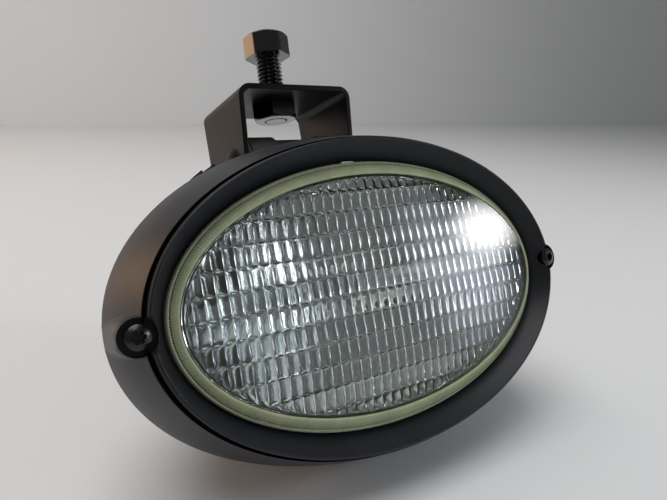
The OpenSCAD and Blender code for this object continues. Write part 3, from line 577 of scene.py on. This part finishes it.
def soften(thing, width):
    """Weld, merge flat triangles, round the edges by a width in millimetres, and shade."""
    join = thing.modifiers.new("join", "WELD")
    join.merge_threshold = 1e-5
    flat = thing.modifiers.new("flat", "DECIMATE")
    flat.decimate_type, flat.angle_limit = "DISSOLVE", math.radians(0.5)
    if width:
        edge = thing.modifiers.new("edges", "BEVEL")
        edge.width, edge.segments = width / 1000, 2
        edge.limit_method, edge.angle_limit = "ANGLE", math.radians(40)
    smooth = thing.modifiers.new("smooth", "NODES")
    smooth.node_group = smooth_faces
    even = thing.modifiers.new("even", "WEIGHTED_NORMAL")
    even.keep_sharp = True


roundings = {"rear_housing": 0.4, "bracket": 0.35, "weld_nut": 0.25, "pivot_bolt": 0.25,
    "pivot_nut": 0.25, "bezel_screws": 0.15, "power_socket": 0.3, "socket_screws": 0.15,
    "breather_plug": 0.3, "bulb_seat": 0.12, "pivot_washer": 0.15, "friction_washers": 0.2}
replaced = ("front_bezel", "lens", "lens_gasket", "reflector", "bulb_filament", "mounting_bolt")
for name, node in nodes.items():
    if name not in replaced:
        soften(node, roundings.get(name, 0))
print("softened", len(nodes) - len(replaced), "solids")

# %% [markdown]
# ## Finishes as expressions
# Blender's materials are graphs of nodes. To keep them readable, a value in such a graph is
# wrapped in a small class, so that an expression such as 0.4 + 0.1 * grain adds its own Math
# nodes. One method makes every other kind of node from its type, settings and inputs.

# %% A value in a shader
class Value:
    """One output of a node. Arithmetic on it adds Math nodes; it is for numbers only."""

    def __init__(self, finish, socket):
        self.finish, self.socket = finish, socket

    def math(self, operation, *terms):
        return self.finish.node("Math", {"operation": operation}, dict(enumerate(terms)))

    def __add__(self, other):
        return self.math("ADD", self, other)

    def __mul__(self, other):
        return self.math("MULTIPLY", self, other)

    def __sub__(self, other):
        return self.math("SUBTRACT", self, other)

    def __rsub__(self, other):
        return self.math("SUBTRACT", other, self)

    __radd__, __rmul__ = __add__, __mul__

    def between(self, low, high):
        """Smooth step from 0 at low to 1 at high."""
        return self.finish.node("MapRange", {"interpolation_type": "SMOOTHSTEP"},
            {"Value": self, "From Min": low, "From Max": high})


def linear(code):
    """A screen colour such as 1c1e24 to the linear red, green and blue of a shader."""
    parts = [int(code[i:i + 2], 16) / 255 for i in (0, 2, 4)]
    return [p / 12.92 if p < 0.04045 else ((p + 0.055) / 1.055) ** 2.4 for p in parts] + [1]


class Finish:
    """One material: a Principled shader with fixed values, and the nodes that vary it."""

    def __init__(self, name, slot, **fixed):
        self.material = bpy.data.materials.new(name)
        self.material.use_nodes = True
        self.tree, self.slot = self.material.node_tree, slot
        self.shader = self.tree.nodes["Principled BSDF"]
        for socket, value in fixed.items():
            self.shader.inputs[socket.replace("_", " ")].default_value = value
        self.place = self.node("TexCoord", {}, {}, "Object")

    def node(self, kind, settings, inputs, output=0):
        """Makes a node, sets its settings, then sets or links its sockets."""
        made = self.tree.nodes.new("ShaderNode" + kind)
        for setting, value in settings.items():
            if setting == "stops":
                ramp = made.color_ramp.elements
                while len(ramp) < len(value):
                    ramp.new(0.5)
                for element, (position, colour) in zip(ramp, value):
                    element.position, element.color = position, colour
            else:
                setattr(made, setting, value)
        for socket, value in inputs.items():
            if isinstance(value, Value):
                self.tree.links.new(value.socket, made.inputs[socket])
            else:
                made.inputs[socket].default_value = value
        return Value(self, made.outputs[output])

    def noise(self, size, detail=3, rough=0.5):
        """Soft random patches about size millimetres wide, from 0 to 1."""
        return self.node("TexNoise", {}, {"Vector": self.place, "Scale": 1000 / size,
            "Detail": detail, "Roughness": rough})

    def cells(self, size):
        """Distance to the nearest of random points about size millimetres apart."""
        return self.node("TexVoronoi", {}, {"Vector": self.place, "Scale": 1000 / size})

    def colours(self, factor, *stops):
        """A ramp of screen colours along a value."""
        return self.node("ValToRGB", {"stops": [(at, linear(c)) for at, c in stops]},
            {"Fac": factor})

    def feed(self, socket, value):
        self.tree.links.new(value.socket, self.shader.inputs[socket])

    def bump(self, height, depth):
        """Tilts the surface by a height from 0 to 1 that stands for depth millimetres."""
        made = self.node("Bump", {}, {"Height": height, "Distance": depth / 1000,
            "Strength": 1.0})
        self.feed("Normal", made)

    def on(self, *things):
        """Gives things this material alone."""
        for thing in things:
            thing.data.materials.clear()
            thing.data.materials.append(self.material)
        return self


# %% [markdown]
# ## Plastics and rubber
# The bezel is a satin black nylon with a fine spark-eroded grain. A noise a third of a
# millimetre wide makes that grain, a wider one lets the gloss wander a little as it does on a
# handled moulding, and a few pale specks stand for dust. The housing is the same, but duller.

# %% Mix the plastics and rubber
def moulded(name, slot, dark, light, gloss, grain, depth, ior=1.5):
    """Grain as a bump, a slow drift of colour and roughness, and sparse dust."""
    f = Finish(name, slot, IOR=ior)
    fine, slow = f.noise(grain, 2, 0.6), f.noise(14, 4, 0.6)
    specks = f.cells(1.7).between(0.09, 0.05) * f.noise(9, 3).between(0.55, 0.75)
    ground = f.colours(slow, (0.3, dark), (0.7, light))
    f.feed("Base Color", f.node("Mix", {"data_type": "RGBA"}, {0: 0.5 * specks, 6: ground,
        7: linear("8a8a86")}, 2))
    f.feed("Roughness", gloss + 0.12 * (slow - 0.5) + 0.25 * specks)
    f.bump(fine, depth)
    return f


moulded("bezel_plastic", "bezel_plastic", "15171d", "1b1d24", 0.42, 0.35, 0.02, ior=1.38).on(
    bezel)
moulded("housing_plastic", "housing_plastic", "1c1c1e", "232326", 0.55, 0.5, 0.035).on(
    nodes["rear_housing"], nodes["breather_plug"])
moulded("socket_plastic", "socket_plastic", "141416", "1a1a1c", 0.4, 0.4, 0.02).on(
    nodes["power_socket"])
moulded("black_rubber", "black_rubber", "161617", "1d1d1e", 0.7, 0.3, 0.02).on(
    nodes["housing_seal"], nodes["socket_seal"])
moulded("fibre", "fibre", "2a2a2b", "343436", 0.75, 0.25, 0.03).on(nodes["friction_washers"])
moulded("lead_red", "lead_red", "8f2018", "a32a20", 0.4, 0.5, 0.01).on(nodes["bulb_lead"])
moulded("lead_black", "lead_black", "151516", "1b1b1c", 0.4, 0.5, 0.01).on(nodes["earth_lead"])

olive = Finish("olive_rubber", "olive_rubber", IOR=1.45, Subsurface_Weight=0.15,
    Subsurface_Scale=0.002)
slow, fine = olive.noise(7, 4, 0.6), olive.noise(0.5, 2, 0.6)
lip, groove = [olive.node("Attribute", {"attribute_name": name}, {}, "Fac")
    for name in ("lip", "groove")]
body = olive.colours(slow, (0.3, "a1a987"), (0.7, "b4bb99"))
# Painted light: on the lip the colour goes most of the way to a pale olive.
body = olive.node("Mix", {"data_type": "RGBA"}, {0: 0.85 * lip, 6: body, 7: linear("dfe4cb")}, 2)
# Painted shade: the colour goes to a dark olive in the groove and the rib valleys.
olive.feed("Base Color", olive.node("Mix", {"data_type": "RGBA"}, {0: 0.75 * groove, 6: body,
    7: linear("3b4030")}, 2))
olive.feed("Roughness", 0.36 + 0.2 * slow - 0.12 * lip)
olive.bump(fine, 0.03)
olive.on(gasket)

# %% [markdown]
# ## Glass
# Clear pressed glass has a faint green tint. It bends light with an index of 1.5, and its
# gloss is broken only by a thin film of dust. The quartz bulb is the same without the tint.

# %% Mix the glass
def clear(name, slot, tint, film):
    """Full transmission, with a roughness that rises a little in slow patches."""
    f = Finish(name, slot, IOR=1.5, Transmission_Weight=1.0)
    slow = f.noise(12, 4, 0.65)
    f.feed("Base Color", f.colours(slow, (0.3, tint), (0.8, "ffffff")))
    f.feed("Roughness", film * slow.between(0.4, 0.8))
    return f


clear("pressed_glass", "lens_glass", "eef6f1", 0.05).on(glass)
clear("quartz", "quartz", "f4f7f8", 0.03).on(nodes["bulb_glass"])

# %% [markdown]
# ## Metals
# The bracket is bent steel under satin black paint, the bolts are glossier black zinc, and the
# small fittings are bright zinc or brass. Each has a fine brushed or grained roughness, and
# the painted ones have small marks.

# %% Mix the metals
def bright(name, slot, dark, light, gloss, depth=0.006, grain=0.6):
    """Bare metal: colour and gloss follow a fine grain, and slow stains dull it in places."""
    f = Finish(name, slot, Metallic=1.0)
    fine, slow = f.noise(grain, 3, 0.6), f.noise(6, 4, 0.6)
    f.feed("Base Color", f.colours(slow, (0.3, dark), (0.7, light)))
    f.feed("Roughness", gloss + 0.15 * slow + 0.1 * (fine - 0.5))
    f.bump(fine, depth)
    return f


def painted(name, slot, dark, light, gloss, peel, depth, coat=0.0, ior=1.5):
    """Paint on metal: orange peel as a bump, wandering gloss, and pale rubbed marks."""
    f = Finish(name, slot, IOR=ior, Coat_Weight=coat, Coat_Roughness=0.12)
    skin, slow = f.noise(peel, 2, 0.5), f.noise(8, 5, 0.65)
    rubbed = f.noise(2.2, 5, 0.7).between(0.66, 0.74) * slow.between(0.5, 0.7)
    ground = f.colours(slow, (0.3, dark), (0.75, light))
    f.feed("Base Color", f.node("Mix", {"data_type": "RGBA"}, {0: 0.6 * rubbed, 6: ground,
        7: linear("4a4540")}, 2))
    f.feed("Roughness", gloss + 0.18 * (slow - 0.5) + 0.2 * rubbed)
    f.bump(skin, depth)
    return f


bright("mirror_coat", "mirror_coat", "dfe1e2", "f1f2f2", 0.03, 0.003, grain=2).on(reflector)
bright("zinc_steel", "zinc_steel", "9fa3a6", "c2c6c8", 0.22).on(*[nodes[n] for n in (
    "bulb_seat", "seat_rivets", "bulb_base", "bulb_clip", "socket_pins", "socket_screws",
    "pivot_bush", "pivot_washer", "pivot_nut")])
bright("brass", "brass", "8f7434", "b99d55", 0.25).on(nodes["screw_inserts"],
    nodes["lead_terminals"])
bright("tungsten", "tungsten", "6d6d6f", "8b8b8d", 0.35).on(filament)
painted("bracket_paint", "bracket_paint", "0c0a09", "15110f", 0.36, 0.9, 0.03, ior=1.24).on(
    nodes["bracket"], nodes["pivot_bolt"])
painted("bolt_black", "bolt_steel", "060607", "0c0c0e", 0.2, 0.7, 0.01, coat=0.5).on(
    bolt, nodes["weld_nut"])
painted("screw_black", "black_steel", "0a0a0b", "101012", 0.25, 0.6, 0.012).on(
    nodes["bezel_screws"])

# %% [markdown]
# ## Floor, wall and light
# The lamp stands on a pale table in front of a pale wall. A broad soft light hangs over it. A
# small window to the right of the camera, brightest in its middle, gives the white patch on
# the right of the glass. A low warm light behind on the left gives the brown sheen on the
# skirt, a cool one on the right gives its edge, and a dim sky fills the shadows.

# %% Set the stage and the light
def plane(name, corners, colour):
    """One flat face of a single matt colour, for the floor or the wall, not part of the lamp."""
    mesh = bpy.data.meshes.new(name)
    mesh.from_pydata(corners, [], [(0, 1, 2, 3)])
    thing = bpy.data.objects.new(name, mesh)
    bpy.context.scene.collection.objects.link(thing)
    mesh.materials.append(Finish(name, None, Roughness=0.6, Base_Color=linear(colour)).material)


plane("floor", [(-3, -3, 0), (3, -3, 0), (3, 3, 0), (-3, 3, 0)], "e6e7e7")
plane("wall", [(-3, 1.3, 0), (3, 1.3, 0), (3, 1.3, 2.4), (-3, 1.3, 2.4)], "eceded")


def soft_light(name, centre, aim, width, height, radiance, colour="ffffff"):
    """A rectangle that shines evenly: power = radiance x area x pi."""
    data = bpy.data.lights.new(name, "AREA")
    data.shape, data.size, data.size_y = "RECTANGLE", width, height
    data.energy, data.color = radiance * width * height * math.pi, linear(colour)[:3]
    thing = bpy.data.objects.new(name, data)
    bpy.context.scene.collection.objects.link(thing)
    thing.location = centre
    way = Vector(aim) - Vector(centre)
    thing.rotation_euler = way.to_track_quat("-Z", "Y").to_euler()
    return thing


def fade(light):
    """Lets the light fall off from its middle to its edge, so that its mirror image is soft."""
    light.data.use_nodes = True
    tree = light.data.node_tree
    place, far, soft = [tree.nodes.new("ShaderNode" + kind) for kind in
        ("NewGeometry", "VectorMath", "MapRange")]
    far.operation, far.inputs[1].default_value = "DISTANCE", (0.5, 0.5, 0)
    soft.interpolation_type = "SMOOTHSTEP"
    for socket, value in (("From Min", 0.5), ("From Max", 0.0)):
        soft.inputs[socket].default_value = value
    tree.links.new(place.outputs["Parametric"], far.inputs[0])
    tree.links.new(far.outputs["Value"], soft.inputs["Value"])
    tree.links.new(soft.outputs[0], tree.nodes["Emission"].inputs["Strength"])


spot = in_head((43.5, 3, 13.6))
window = Vector(spot) + 0.9 * Vector((0.803, -0.496, 0.330))
fade(soft_light("window", window, spot, 0.28, 0.28, 22))
soft_light("ceiling", (-0.2, 0.1, 1.3), (0, 0, 0), 1.2, 1.0, 3.0)
soft_light("warm_wall", (-0.9, 0.78, 0.27), (0, 0, 0.05), 0.8, 0.45, 2.9, "ffcb9c")
fade(soft_light("cool_side", (0.95, -0.8, 0.35), (0, 0, 0.06), 0.5, 1.0, 5, "e4ecff"))

world = bpy.data.worlds.new("room")
bpy.context.scene.world = world
world.use_nodes = True
sky = world.node_tree.nodes["Background"]
sky.inputs["Color"].default_value = (0.80, 0.81, 0.82, 1)
sky.inputs["Strength"].default_value = 0.2
bpy.context.scene.view_settings.view_transform = "Standard"
print("materials:", len(bpy.data.materials), "lights:", len(bpy.data.lights))
